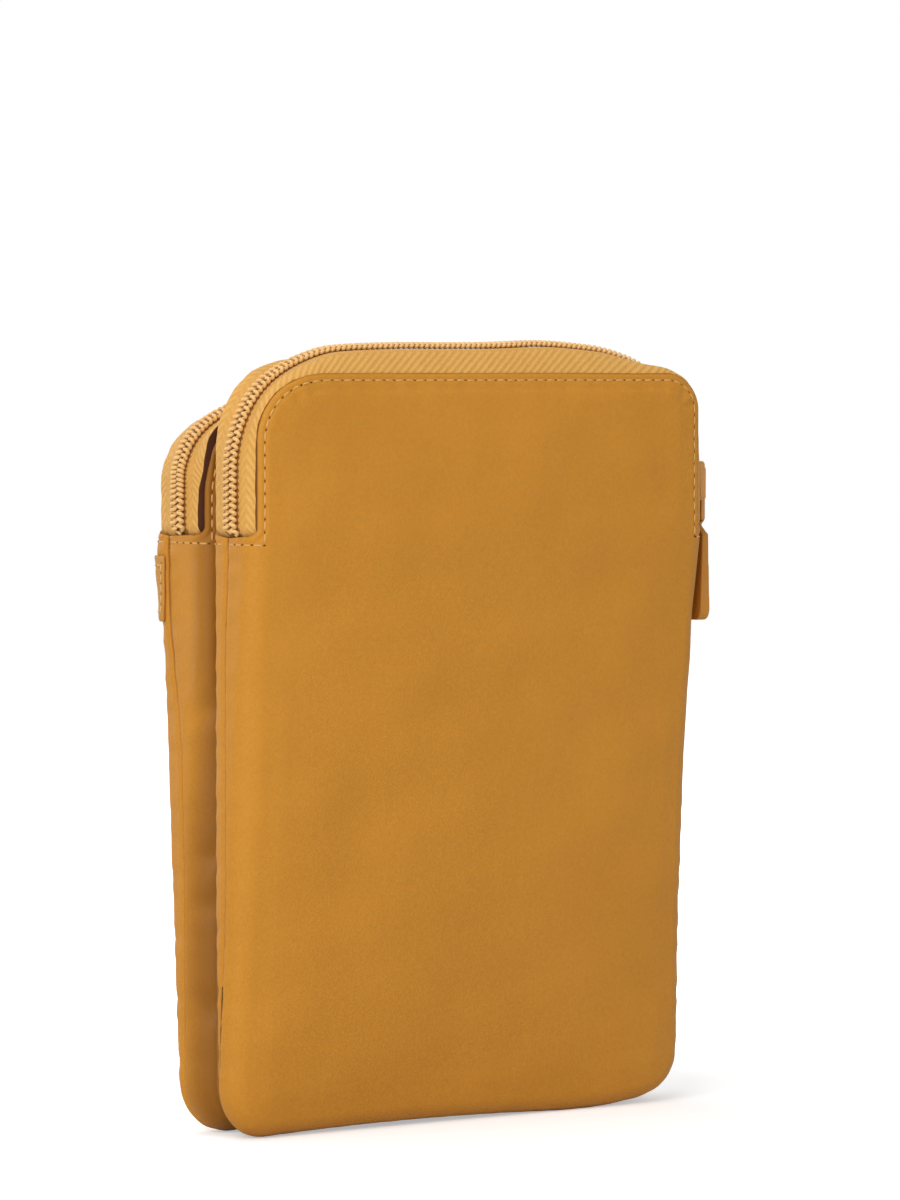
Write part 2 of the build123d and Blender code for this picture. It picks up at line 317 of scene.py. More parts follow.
def two_sided(front, back):
    """Points and faces of a closed band between two grids of points."""
    lines, count = front.shape[:2]
    wide = 2 * count
    faces = grid_faces(lines, wide)
    faces += [(i - 1, i - wide, i, i + wide - 1) for i in range(wide, wide * lines, wide)]
    for near, way in ((0, -1), ((lines - 1) * wide, 1)):
        far = near + wide - 1
        faces += [(near + j, near + j + 1, far - 1 - j, far - j)[::way] for j in range(count - 1)]
    return np.concatenate([front, back[:, ::-1]], 1), faces


def weld(points, faces):
    """Points closer than a hair become one, and faces that collapse are dropped. The last result
    says which of the given faces each kept one is."""
    keys = np.round(points.reshape(-1, 3) / 0.002).astype(np.int64)
    _, first, inverse = np.unique(keys, axis=0, return_index=True, return_inverse=True)
    inverse = inverse.reshape(-1)
    kept, sources = [], []
    for source, face in enumerate(faces):
        corners = tuple(dict.fromkeys(int(inverse[index]) for index in face))
        if len(corners) > 2:
            kept.append(corners)
            sources.append(source)
    return points.reshape(-1, 3)[first], kept, first, np.array(sources)


def weave(piece, places):
    """Places of the points in the woven cloth, given in millimetres, as a UV map."""
    layer = piece.data.uv_layers.new(name="weave")
    index = np.zeros(len(piece.data.loops), int)
    piece.data.loops.foreach_get("vertex_index", index)
    layer.data.foreach_set("uv", (places.reshape(-1, 2) / CM)[index].reshape(-1))


def normals_of(grid):
    """Unit normals of a grid of points, with the lines wrapped round."""
    return unit(np.cross(np.roll(grid, -1, 0) - np.roll(grid, 1, 0), np.gradient(grid, axis=1)))


def belongs(piece, slot, *nodes, fold=None, body="pouches", fill=None):
    """Hides the CAD nodes that a piece stands for and gives back the piece, which moves with a body or,
    where a pouch is given as the fold, keeps its place baked into its points. The slot is not used."""
    if nodes:
        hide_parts(*nodes)
    if fold is None:
        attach(piece, body)
    else:
        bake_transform(piece)
    return piece


# -------- panels

class Outline:
    """Section lines once round a pouch's panel: where they start, which way is out, how the edge
    turns there, and where the cloth's own edge lies on each."""

    def __init__(self, p, outer):
        self.p, self.outer, self.turn = p, outer, 1 if outer else -1
        self.name = f"{p.side}_outer" if outer else f"{p.side}_inner"
        left_radius, right_radius = CORNERS[self.name]
        left, right = self.half_round(-1, left_radius), self.half_round(1, right_radius)[::-1]
        crown, foot = (0.0, p.top, 0.0, 1.0), (0.0, 0.0, 0.0, -1.0)
        self.x, self.z, self.nx, self.nz = self.lines = np.concatenate([[foot], left, [crown], right]).T
        self.up = np.clip(self.nz, 0, 1) ** 1.5
        self.beside_zip = self.z > p.zip_end - 0.01
        self.radius = self.edge_radius()
        self.tucked = self.tuck() * self.turn
        self.rise = self.pillow(self.z)
        self.start = (self.edge_depth(self.z) - self.tucked) * self.turn - self.radius
        self.last = HALF_PI - np.arctan(self.rise / PILLOW_REACH)
        self.end = self.start + self.radius * self.last
        self.rim = self.rim_line()
        self.edge = np.where(self.beside_zip, self.window_edge(), side_seam(p, self.z) * self.turn)

    def half_round(self, way, radius):
        """x, z and normal of the lines up one side, from the bottom's middle to the top's."""
        half, top, bend = self.p.half, self.p.top, BOTTOM_RADIUS
        low_end, high_end = self.p.zip_end - 8.0, top - radius

        def lines(x, z, nx, nz):
            return np.stack(np.broadcast_arrays(x, z, nx, nz), 1)

        def corner(radius, z, first, last, count):
            angles = np.linspace(first, last, count)[1:-1]
            nx, nz = np.cos(angles), np.sin(angles)
            return lines(half - radius + radius * nx, z + radius * nz, nx, nz)

        window = self.p.zip_end + WINDOW_RISE * (1 - np.cos(np.linspace(0, HALF_PI, 10)[1:]))
        heights = np.concatenate([np.linspace(bend, low_end, 70)[:-1],
                                  np.linspace(low_end, self.p.zip_end, 17),
                                  window, np.linspace(window[-1], high_end, 16)[1:]])
        rows = [lines(np.linspace(0, half - bend, 27)[1:], 0.0, 0.0, -1.0),
                corner(bend, bend, -HALF_PI, 0, 18),
                lines(half, heights, 1.0, 0.0),
                corner(radius, high_end, 0, HALF_PI, 36),
                lines(np.linspace(half - radius, 0, 34)[:-1], top, 0.0, 1.0)]
        return np.concatenate(rows) * (way, 1, way, 1)

    def edge_depth(self, z):
        """v of the face where the edge's rounding ends."""
        p = self.p
        if not self.outer:
            return np.full_like(z, p.inner + 0.5)
        foot, lean = LEAN[p.side]
        depth = foot + lean * np.minimum(z, p.zip_end)
        if p.side == "front":
            return depth + 0.9 * ramp(z, 128.0, 16.0)
        return depth + 1.2 * bell(np.minimum(z, 137.0), 137.0, 15.0)

    def tuck(self):
        """How far the edge beside the zip lies behind the face."""
        if self.outer and self.p.side == "rear":
            return 2.1 * ramp(self.z, self.p.zip_end - 1.6, 4.0)
        return np.zeros_like(self.z)

    def edge_radius(self):
        """Radius of the rounding from the side to the face: larger along the crest."""
        z, up = self.z, self.up
        if not self.outer:
            depth, foot, fall = (5.2, 82.0, 36.0) if self.p.side == "rear" else (1.8, 0.0, 60.0)
            return 3.8 + 1.5 * up + depth * (1 - ramp(z, foot, fall))
        if self.p.side == "rear":
            return 2.9 + 2.0 * up
        right = smooth(self.nx) * ramp(z, 120.0, 30.0)
        below = 1.7 * (1 - ramp(z, 85.0, 45.0))
        return 3.6 + 1.4 * ramp(z, 0.0, 120.0) + below + 1.2 * right * (1 - up) + 4.0 * up

    def pillow(self, z):
        """How far the middle of the face stands out from its rounded edge."""
        if self.outer and self.p.side == "front":
            return 3.3 - 1.1 * ramp(z, 0.0, 150.0)
        return np.full_like(z, 1.2 if self.outer else 0.5)

    def rim_line(self):
        """Along, to the folded edge beside the zip."""
        p = self.p
        if not self.outer:
            if p.side == "front":
                return np.full_like(self.z, 9.4)
            return 8.8 + 1.3 * ramp(self.z, p.zip_end + 9.0, 16.0)
        angle = 64.0
        if p.side == "front":
            angle = (43.0 + 14.0 * ramp(self.x, -30.0, 60.0)) * (1 - self.up) + 63.0 * self.up
        return self.start + self.radius * np.radians(angle)

    def window_edge(self):
        """The cloth's edge above the zip's end: a rounded corner up to the rim."""
        climb = np.clip((self.z - self.p.zip_end) / WINDOW_RISE, 0, 1)
        first = np.minimum(WINDOW_CORNER[self.name], self.rim - 0.3)
        return first + (self.rim - first) * np.sin(np.arccos(1 - climb))

    def at(self, index, name):
        """A line's value between lines, as a column."""
        values = getattr(self, name)
        return np.interp(index, np.arange(len(values)), values)[:, None]


class Cloth(Outline):
    """One sewn panel of a pouch as a grid: lines round the outline, rings from the edge inwards."""

    def __init__(self, p, outer, inset=0.0, fine=True):
        super().__init__(p, outer)
        side_rings, arc_rings, face_rings, middle_rings = FINE_RINGS if fine else COARSE_RINGS
        start, end, radius, last, rise, tucked = np.stack(
            [self.start, self.end, self.radius, self.last, self.rise, self.tucked])[..., None]
        lowest = np.minimum(side_seam(p, self.z)[:, None] * self.turn, start - 0.5)
        to_ring = FACE_RING - radius
        parts = [lowest + (start - lowest) * np.linspace(0, 1, side_rings)[:-1],
                 start + (end - start) * np.linspace(0, 1, arc_rings)[:-1],
                 end + to_ring * np.linspace(0, 1, face_rings) ** 1.5]
        self.along = np.maximum(np.concatenate(parts, 1), self.edge[:, None])
        # the last ring that is still clamped to the cloth's edge, on each line
        self.first = np.maximum(np.sum(self.along <= self.edge[:, None] + 1e-6, 1) - 1, 0)

        # from the side round the edge on to the face, as far as FACE_RING
        angle = np.clip((self.along - start) / radius, 0, None)
        turned = np.minimum(angle, last)
        past = np.maximum(angle - last, 0) * radius
        sunk = radius * (1 - np.cos(turned)) + past
        x = self.x[:, None] - self.nx[:, None] * sunk
        z = self.z[:, None] - self.nz[:, None] * sunk
        growth = 1 - np.exp(-past / PILLOW_REACH)
        evened = (RING_GROWTH / (1 - np.exp(-to_ring / PILLOW_REACH))) ** smooth(past / to_ring)
        v = np.minimum(self.along, start) + radius * np.sin(turned)
        v = (v + rise * growth * evened) * self.turn
        gained = self.edge_depth(z) - self.edge_depth(self.z)[:, None]
        v = v + gained * smooth((self.along - start) / radius) + tucked * ramp(past, 0.0, 6.0)

        # from there to the face's middle line, where the lines of both sides meet
        t = np.linspace(0, 1, middle_rings + 1)[1:]
        middle_x = x[:, -1:] * (1 - t)
        middle_z = z[:, -1:] * (1 - t) + np.clip(self.z, MEDIAL_LOW, p.top - MEDIAL_HIGH)[:, None] * t
        walls = np.stack([p.half - middle_x, p.half + middle_x, middle_z, p.top - middle_z])
        inward = -np.log(np.sum(np.exp(-walls / WALL_BLEND), 0)) * WALL_BLEND
        swell = self.pillow(middle_z) * (1 - RING_GROWTH)
        swell = swell * (1 - np.exp(-np.maximum(inward - FACE_RING, 0) / PILLOW_REACH)) * self.turn
        middle_v = self.edge_depth(middle_z) + (v[:, -1:] - self.edge_depth(z[:, -1:])) + swell

        self.grid = p.place(np.concatenate([x, middle_x], 1), np.concatenate([v, middle_v], 1),
                            np.concatenate([z, middle_z], 1))
        self.face_start = side_rings + arc_rings - 2
        left = self.along[:, -1:] - self.along
        rolled = np.stack([x[:, -1:] + self.nx[:, None] * left, z[:, -1:] + self.nz[:, None] * left], -1)
        self.flat = np.concatenate([rolled, np.stack([middle_x, middle_z], -1)], 1)
        self.soften(inset)

    def soften(self, inset):
        """Sag, unevenness, folded edge, stitch groove and puckers, then the inset of a lining."""
        p = self.p
        self.grid = settle(p, self.grid)
        normal = normals_of(self.grid)
        self.flip = np.mean(normal[:, self.face_start + 3, 1]) * p.sign * self.turn < 0
        if self.flip:
            normal = -normal
        level = np.array([0.0, p.sign * self.turn, 0.0])
        ring = np.arange(self.grid.shape[1])[:, None]
        share = smooth((ring - self.along.shape[1] + 1) / 5.0)
        self.normal = unit(normal * (1 - share) + level * share)
        self.edge_points, flat = self.grid[:, 0].copy(), self.grid.reshape(-1, 3)
        from_rim, rim_at = nearest(flat, self.edge_points[self.beside_zip])
        from_seam, seam_at = nearest(flat, opened(self.edge_points[~self.beside_zip]))
        from_hem = np.minimum(from_rim, from_seam)
        push = np.sqrt(np.maximum(HEM ** 2 - np.maximum(HEM - from_hem, 0) ** 2, 0)) - HEM
        # beside the zip a ridge, the topstitch's groove and puckers, then the same for the side seam
        push += 0.12 * bell(from_rim, 1.0, 0.4) - 0.20 * bell(from_rim, STITCH_IN, 0.45)
        push += 0.16 * pucker(rim_at, 1.0) * bell(from_rim, 3.4, 2.2)
        push += 0.10 * bell(from_seam, 1.2, 0.6) - 0.30 * bell(from_seam, 0.0, 0.5)
        low_down = 0.3 + 0.7 * ramp(flat[:, 2], 6.0, 14.0)
        push += 0.20 * low_down * pucker(seam_at, 2.0) * bell(from_seam, 3.0, 2.6)
        unevenness = (0.30 if self.outer else 0.12) * ramp(from_hem, 1.5, 12.0)
        push += unevenness * ripple(flat[:, 0], flat[:, 2], 0.0 if p.side == "front" else 3.0) - inset
        self.grid = (flat + self.normal.reshape(-1, 3) * push[:, None]).reshape(self.grid.shape)

    def hem_rings(self):
        """The folded edge: from the last point of the cloth round and back underneath."""
        lines = np.arange(len(self.x))
        edge = self.grid[:, 0]
        tangent = unit(np.roll(self.edge_points, -1, 0) - np.roll(self.edge_points, 1, 0))
        normal = unit(self.normal[lines, self.first])
        inwards = unit(np.cross(normal, tangent))
        ahead = self.grid[lines, self.first + 4] - edge
        inwards = inwards * np.where(np.sum(inwards * ahead, 1) < 0, -1, 1)[:, None]
        for _ in range(3):
            inwards = unit(np.roll(inwards, 1, 0) + 2 * inwards + np.roll(inwards, -1, 0))
        rings = [edge + inwards * HEM * (1 - math.cos(angle)) - normal * HEM * math.sin(angle)
                 for angle in (HALF_PI / 3, 2 * HALF_PI / 3, HALF_PI)]
        under = np.where(self.beside_zip, HEM_UNDER, SEAM_UNDER)[:, None]
        rings.append(rings[-1] + inwards * under - normal * 0.45)
        return np.stack(rings[::-1], 1)

    def build(self, name, material, hem=True):
        """The cloth's mesh. Its hem's underside takes a painted shade, the dark groove of a folded edge."""
        grid, flat, materials, under = self.grid, self.flat, [material], np.zeros(len(self.x))
        if hem:
            rings = self.hem_rings()
            grid = np.concatenate([rings, grid], 1)
            flat = np.concatenate([np.repeat(flat[:, :1], rings.shape[1], 1), flat], 1)
            materials.append(RIM_SHADE)
            # the hem's deepest faces take the painted shade of the folded edge's groove
            under = np.where(self.beside_zip, 2, 3)
        rows, columns = grid.shape[:2]
        points, faces, first, sources = weld(grid, grid_faces(rows, columns, wrap=True, flip=not self.flip))
        line, column = np.divmod(sources, columns - 1)
        marks = (column < under[line]).astype(int).tolist()
        piece = new_object(f"{self.p.side}_{name}", points, faces, materials, marks)
        weave(piece, flat.reshape(-1, 2)[first])
        return piece

    def on_line(self, i, along):
        """Point and normal on line i, as six numbers."""
        values = self.along[i]
        columns = np.where(np.concatenate([[True], np.diff(values) > 1e-6]))[0]
        columns[0] = self.first[i]
        rows = np.concatenate([self.grid[i, columns], self.normal[i, columns]], 1)
        found = between(along, values[columns], rows)
        found[3:] = unit(found[3:])
        return found

    def rim_stitch_path(self):
        """The topstitch beside the zip, down to the row below its end."""
        lines = np.where(self.z >= self.p.zip_end - U_ROW)[0]
        return np.array([self.on_line(i, self.rim[i] + STITCH_IN) for i in lines])

    def row_path(self, way, low):
        """The topstitch across one side, below the zip's end."""
        lines = np.where(self.nx * way > 0.9)[0]
        i = lines[np.argmin(np.abs(self.z[lines] - self.p.zip_end + U_ROW))]
        return np.array([self.on_line(i, a) for a in np.linspace(low, self.rim[i] + STITCH_IN, 24)])


def stitches(name, paths, pitch=STITCH_PITCH, length=STITCH_LENGTH, hole=NEEDLE_HOLE):
    """Thread dashes with a needle hole at each end, a small dark cone of painted shade, along paths of points
    and outward normals.
    """
    points, faces, marks = [], [], []
    for path in paths:
        run = run_of(path[:, :3])
        count = max(int(run[-1] / pitch), 1)
        spare = (run[-1] - count * pitch) / 2

        def at(s):
            """Point, normal, and the directions along and across the seam."""
            behind, found, ahead = between(np.array([s - 0.2, s, s + 0.2]), run, path)
            normal, tangent = unit(found[3:]), unit((ahead - behind)[:3])
            return found[:3], normal, tangent, unit(np.cross(tangent, normal))

        for middle in spare + (np.arange(count) + 0.5) * pitch:
            base = len(points)
            for share in np.linspace(-1, 1, STITCH_STEPS):
                point, normal, _, across = at(middle + share * length / 2)
                swell = STITCH_RADIUS * math.sqrt(max(1 - share ** 6, 0.04))
                lift = 0.16 * (1 - share ** 4) - 0.10
                points += [point + normal * (lift + 0.85 * swell * math.sin(a)) + across * swell * math.cos(a)
                           for a in circle(STITCH_SIDES)]
            dash = tube_faces(STITCH_STEPS, STITCH_SIDES, base)
            faces += dash
            marks += [0] * len(dash)
            point, normal, tangent, across = at(middle + pitch / 2)
            base = len(points)
            points.append(point + normal * 0.09)
            points += [point - normal * 0.03 + hole * (tangent * math.cos(a) + across * 0.8 * math.sin(a))
                       for a in circle(HOLE_SIDES)]
            faces += [(base, base + 1 + k, base + 1 + (k + 1) % HOLE_SIDES) for k in range(HOLE_SIDES)]
            marks += [1] * HOLE_SIDES
    return new_object(name, points, faces, [THREAD, HOLE], marks)


# -------- zip

def zip_lines(p, step):
    """Places along the zip's line, from just under its left end round to its right end, with their
    x, z and normals in the pouch's front view, and how deep the line dives at its ends."""
    left, right = CORNERS[f"{p.side}_zip"]
    crest = p.height - COIL_RISE
    low = p.zip_end - ZIP_UNDER
    pieces = [crest - left - low, left * HALF_PI, 2 * p.zip_half - left - right, right * HALF_PI,
              crest - right - low]
    total = sum(pieces)
    s = np.linspace(0, total, int(total / step) + 1)
    up, round_left, over, round_right, down = (
        np.clip(s - before, 0, piece) for before, piece in zip(np.cumsum([0] + pieces), pieces))
    rising, falling = round_left / left, round_right / right
    x = -p.zip_half + left * (1 - np.cos(rising)) + over + right * np.sin(falling)
    z = low + up + left * np.sin(rising) - right * (1 - np.cos(falling)) - down
    dip = ZIP_DIP * (1 - ramp(np.minimum(s, total - s), 0.6, 4.0))
    return s, x, z, -np.cos(rising + falling), np.sin(rising + falling), dip


def facing(line, x, z, nx, nz):
    """Where rays from the zip's line, straight out, meet a panel's outline: the place among its lines."""
    x, z, nx, nz = (values[:, None] for values in (x, z, nx, nz))
    ex, ez = np.roll(line.x, -1) - line.x, np.roll(line.z, -1) - line.z
    ax, az = line.x - x, line.z - z
    cross = nx * ez - nz * ex
    cross = np.where(np.abs(cross) < 1e-9, 1e-9, cross)
    away, share = np.abs((ax * ez - az * ex) / cross), (ax * nz - az * nx) / cross
    found = np.argmin(np.where((share >= -1e-6) & (share <= 1 + 1e-6), away, 1e9), 1)
    return found + np.clip(share[np.arange(len(found)), found], 0, 1)


def tape(p, outer):
    """One half of the zip's tape: flat beside the coil, then down under the panel's folded edge."""
    s, x, z, nx, nz, dip = zip_lines(p, 0.75)
    line = Outline(p, outer)
    index = facing(line, x, np.maximum(z, p.zip_end + 0.01), nx, nz)
    start, radius, rim = (line.at(index, part) for part in ("start", "radius", "rim"))
    flush, steep, reach, gap = TAPE_TUCK[line.name]
    rim_v = np.minimum(rim, start) + radius * np.sin(np.clip((rim - start) / radius, 0, 1.5))
    far = np.minimum(rim_v + TAPE_UNDER, start + radius * 0.94)
    closing = 0.6 * np.clip(nz, 0, 1) if reach else 0.85 * ramp(z, p.zip_end + 5.0, 17.0)
    border = np.minimum(rim_v - gap * (1 - closing[:, None]), far - 0.3)
    plain, ribbed, hidden = TAPE_COLUMNS
    v = np.concatenate([np.linspace(TAPE_START, FLAT_TAPE, plain) + 0 * border,
                        FLAT_TAPE + (border - FLAT_TAPE) * np.linspace(0, 1, ribbed)[1:],
                        border + (far - border) * np.linspace(0, 1, hidden)[1:]], 1)
    sunk = radius * (1 - np.cos(np.arcsin(np.clip((v - start) / radius, 0, 0.97)))) * flush + 0.45 * flush
    dive = smooth((v - rim_v + reach) / (reach + 0.5)) if reach else smooth((v - border) / 0.8)
    mix = smooth((v - FLAT_TAPE) / (rim_v - FLAT_TAPE - 0.2))
    x, z, nx, nz, dip = (values[:, None] for values in (x, z, nx, nz, dip))
    depth = sunk + steep * dive + dip - 0.10 * pucker(s, 1.7)[:, None] * mix
    panel_z = np.where(z < p.zip_end + 0.01, z, line.at(index, "z"))
    px = (x - nx * dip) * (1 - mix) + (line.at(index, "x") - line.at(index, "nx") * depth) * mix
    pz = (z - nz * dip) * (1 - mix) + (panel_z - line.at(index, "nz") * depth) * mix
    grid = settle(p, p.place(px, line.turn * v, pz))
    out = np.stack([nx, 0 * nx, nz], -1)
    points, faces = two_sided(grid, grid - out * TAPE_THICKNESS)
    if line.turn * p.sign > 0:
        faces = [face[::-1] for face in faces]
    columns = grid.shape[1]
    # faces across the strip beside the panel's edge take a painted shade: the dark gap under the folded edge,
    # or the slit where a tape gapes away
    shaded = range(plain + ribbed - 2, columns)
    marks = [int(all(corner % (2 * columns) in shaded for corner in face)) for face in faces]
    piece = new_object(f"{line.name}_tape_weave", points, faces, [TAPE, RIM_SHADE if reach else SHADE], marks)
    across = TAPE_START + run_of(grid)
    # the tapes behind the coil get a wider strip of the coil's painted shade
    if outer == (p.side == "rear"):
        across = across - BEHIND_COIL
    across = np.concatenate([across, across[:, ::-1]], 1)
    along = np.broadcast_to((s if outer else s - COIL_PITCH / 2)[:, None], across.shape)
    weave(piece, np.stack([along, across], -1))
    return piece


def coil(p, outer, name):
    """A coil row: one filament wound in flattened turns, with its head towards the zip's middle.
    Below the slider the two rows lie a little apart."""
    s, x, z, nx, nz, dip = zip_lines(p, 0.5)
    turn = 1 if outer else -1
    end_z = p.slider_z - 1.0
    parted = COIL_APART * np.where((nx > 0.99) & (z < end_z), ramp(z, end_z, -4.0), 0.0)
    turns = int((s[-1] - ZIP_UNDER - COIL_FIRST) / COIL_PITCH)
    angle = np.arange(turns * TURN_POINTS + 1) * FULL_TURN / TURN_POINTS
    at = COIL_FIRST + (angle / FULL_TURN + (0.0 if outer else 0.5)) * COIL_PITCH
    swing, rise = np.cos(angle), -np.sin(angle)
    v = COIL_MIDDLE - COIL_SWING * np.sign(swing) * np.abs(swing) ** 0.75 + np.interp(at, s, parted)
    out = COIL_LEVEL + COIL_LOFT * np.sign(rise) * np.abs(rise) ** 0.7 - np.interp(at, s, dip)
    at = at - 0.10 * swing
    px, pz, qx, qz = between(at, s, np.stack([x, z, nx, nz], 1)).T
    path = settle(p, p.place(px + qx * out, turn * v, pz + qz * out))
    tangent = unit(np.gradient(path, axis=0))
    side = unit(np.cross(tangent, unit(np.stack([qx, 0 * qx, qz], 1))))
    up = np.cross(side, tangent)
    head = (1.0 + 0.2 * ramp(v, 1.0, -0.6))[:, None]
    tube = [path + FILAMENT * (side * math.cos(a) * head + up * math.sin(a))
            for a in circle(TUBE_POINTS)]
    faces = [face[:1] + face[:0:-1] for face in tube_faces(len(path), TUBE_POINTS)]
    return new_object(f"{name}_coil_turns", np.stack(tube, 1), faces, [COIL])


# -------- materials

class Wire:
    """What comes out of a node. Sums, differences and products of wires are math nodes."""

    def __init__(self, made, socket):
        self.made, self.socket = made, socket

    def __add__(self, other):
        return self.made.math("ADD", self, other)

    def __sub__(self, other):
        return self.made.math("SUBTRACT", self, other)

    def __mul__(self, other):
        return self.made.math("MULTIPLY", self, other)

    def __abs__(self):
        return self.made.math("ABSOLUTE", self)


class Shading:
    """The node tree of a material or a world. Its methods add nodes, and give their outputs."""

    def __init__(self, owner):
        owner.use_nodes = True
        self.owner, self.tree = owner, owner.node_tree
        self.tree.nodes.clear()

    def add(self, kind, inputs=(), output=0, **settings):
        """A node with its settings. Each input is a wire, a number or a colour."""
        made = self.tree.nodes.new("ShaderNode" + kind)
        for key, value in settings.items():
            setattr(made, key, value)
        for key, value in dict(inputs).items():
            if isinstance(value, Wire):
                self.tree.links.new(value.socket, made.inputs[key])
            else:
                made.inputs[key].default_value = (*value, 1.0) if isinstance(value, tuple) else value
        return Wire(self, made.outputs[output]) if made.outputs else None

    def math(self, operation, a, b=0.0):
        return self.add("Math", {0: a, 1: b}, operation=operation)

    def cloth(self):
        """The place in the woven cloth, in centimetres."""
        return self.add("UVMap", uv_map="weave")

    def split(self, place):
        """The x, y and z of a place."""
        first = self.add("SeparateXYZ", {"Vector": place})
        return [Wire(self, socket) for socket in first.socket.node.outputs]

    def sine(self, value, length):
        """A wave of that length."""
        return self.math("SINE", value * (FULL_TURN / length))

    def noise(self, place, scale, detail, roughness=0.5):
        inputs = {"Vector": place, "Scale": scale, "Detail": detail, "Roughness": roughness}
        return self.add("TexNoise", inputs, "Fac")

    def threads(self, place, pitch, distortion, way, **inputs):
        """Bands of light and dark, at a pitch in the units of the place."""
        scale = FULL_TURN / 10 / pitch
        inputs.update({"Vector": place, "Scale": scale, "Distortion": distortion, "Detail": 1.0})
        return self.add("TexWave", inputs, "Fac", wave_type="BANDS", bands_direction=way)

    def ranged(self, value, low, high, to_low=0.0, to_high=1.0, kind="LINEAR"):
        inputs = {"Value": value, "From Min": low, "From Max": high, "To Min": to_low, "To Max": to_high}
        return self.add("MapRange", inputs, interpolation_type=kind)

    def mixed(self, low, high, factor):
        """A colour between two."""
        return self.add("Mix", {"Factor": factor, 6: low, 7: high}, 2, data_type="RGBA")

    def finish(self, colour, height, strength, roughness, sheen=0.0, specular=0.35, coat=0.0):
        """The surface, with its height as a bump. Gives the material."""
        relief = self.add("Bump", {"Height": height, "Strength": strength, "Distance": MM})
        shader = self.add("BsdfPrincipled", {
            "Base Color": colour, "Roughness": roughness, "Normal": relief, "Specular IOR Level": specular,
            "Coat Weight": coat, "Sheen Weight": sheen, "Sheen Roughness": 0.4, "Sheen Tint": SHEEN})
        self.add("OutputMaterial", {"Surface": shader})
        return self.owner


def new_material(name):
    """Its node tree, and the place in the object in metres."""
    made = Shading(bpy.data.materials.new(name))
    return made, made.add("TexCoord", output="Object")


NYLON_DARK, NYLON_LIGHT, NYLON_PAINTED_SHADE = (0.35, 0.132, 0.007), (0.69, 0.300, 0.030), (0.21, 0.072, 0.003)
COIL_TURN_SHADE = (0.27, 0.115, 0.024)
RIB_SPINE, RIB_PITCH, WEFT_PITCH = 0.50, 0.23, 0.045  # centimetres: where the ribs turn back, and the pitches
SHEEN = (1.0, 0.8, 0.5)
FOLD_SHADE = {"front": 2.0, "rear": 9.0}  # how far the shade reaches on the inner panels


def nylon(name, fold=None):
    """Fine twill nylon: diagonal lines, uneven threads and slow changes of tone. On the inner panels
    it takes a painted shade towards the fold between the pouches, within a distance called fold."""
    made, place = new_material(name)
    lines = made.threads(made.cloth(), 0.055, 0.6, "DIAGONAL", **{"Detail Scale": 0.4})
    thread, slow = made.noise(place, 1500.0, 2.0, 0.6), made.noise(place, 28.0, 3.0, 0.55)
    creases = made.noise(place, 95.0, 3.0, 0.6)
    colour = made.mixed(NYLON_DARK, NYLON_LIGHT, lines * 0.30 + thread * 0.42 + slow * 0.32)
    # painted shade: darker towards the fold between the pouches, reaching further low down
    if fold:
        _, y, z = made.split(place)
        low = made.ranged(z, 62 * MM, 100 * MM, 0.4 * fold * MM, 0.0)
        fade = made.ranged(abs(y) - low, 0.4 * MM, fold * MM, 0.25, kind="SMOOTHSTEP")
        colour = made.mixed(NYLON_PAINTED_SHADE, colour, fade)
    height = lines * 0.05 + thread * 0.04 + creases * 0.45
    return made.finish(colour, height, 0.5, 0.5, sheen=0.04, specular=0.22)


def herringbone(name, low, high):
    """Zip tape: plain next to the coil, then diagonal ribs towards the panel. Beside the coil it has
    painted shade: dark spots between the coil's turns, one for each turn."""
    made, place = new_material(name)
    cloth = made.cloth()
    along, across, _ = made.split(cloth)
    slant = along + abs(across - RIB_SPINE) * 1.25 + made.noise(cloth, 6.0, 1.0) * 0.05
    outside = made.math("GREATER_THAN", across, RIB_SPINE)
    ribs = (made.sine(slant, RIB_PITCH) * 0.5 + 0.5) * (outside * 0.5 + 0.5)
    wefts = made.sine(across, WEFT_PITCH)
    thread, slow = made.noise(place, 1700.0, 2.0), made.noise(place, 60.0, 2.0)
    colour = made.mixed(low, high, ribs * 0.36 + thread * 0.5 + slow * 0.25)
    # painted shade of the tape under and between the coil's turns
    turn = (along - COIL_FIRST / CM) * (FULL_TURN / (COIL_PITCH / CM))
    reach = across + made.math("COSINE", turn) * -0.034
    colour = made.mixed(COIL_TURN_SHADE, colour, made.ranged(reach, 0.222, 0.248))
    height = ribs * 0.16 + wefts * 0.012 + thread * 0.08
    return made.finish(colour, height, 0.8, 0.65, sheen=0.2, specular=0.25)


def plain_weave(name, low, high, pitch, depth=0.1, roughness=0.7, sheen=0.15, mapped=True):
    """Crossed threads, for the lining, the band, the painted shades of gaps and folded edges and, without a
    map, the sewing thread.
    """
    made, place = new_material(name)
    cloth, pitch, ways = (made.cloth(), pitch / CM, "XY") if mapped else (place, pitch * MM, "XZ")
    warp, weft = (made.threads(cloth, pitch, 0.5, way) for way in ways)
    cross = warp * weft
    colour = made.mixed(low, high, cross * 0.5 + made.noise(place, 120.0, 3.0) * 0.5)
    return made.finish(colour, cross * depth, 0.6, roughness, sheen=sheen, specular=0.3)


def moulded(name, low, high, roughness, depth=0.03, specular=0.4, coat=0.0):
    """Nylon filament, painted metal, soft rubber or the painted shade of needle holes: even, with fine
    unevenness in gloss and tone.
    """
    made, place = new_material(name)
    grain, slow = made.noise(place, 900.0, 3.0), made.noise(place, 150.0, 2.0)
    colour = made.mixed(low, high, grain * 0.4 + slow * 0.6)
    gloss = slow * 0.16 + (roughness - 0.08)
    return made.finish(colour, grain * depth, 0.5, gloss, specular=specular, coat=coat)


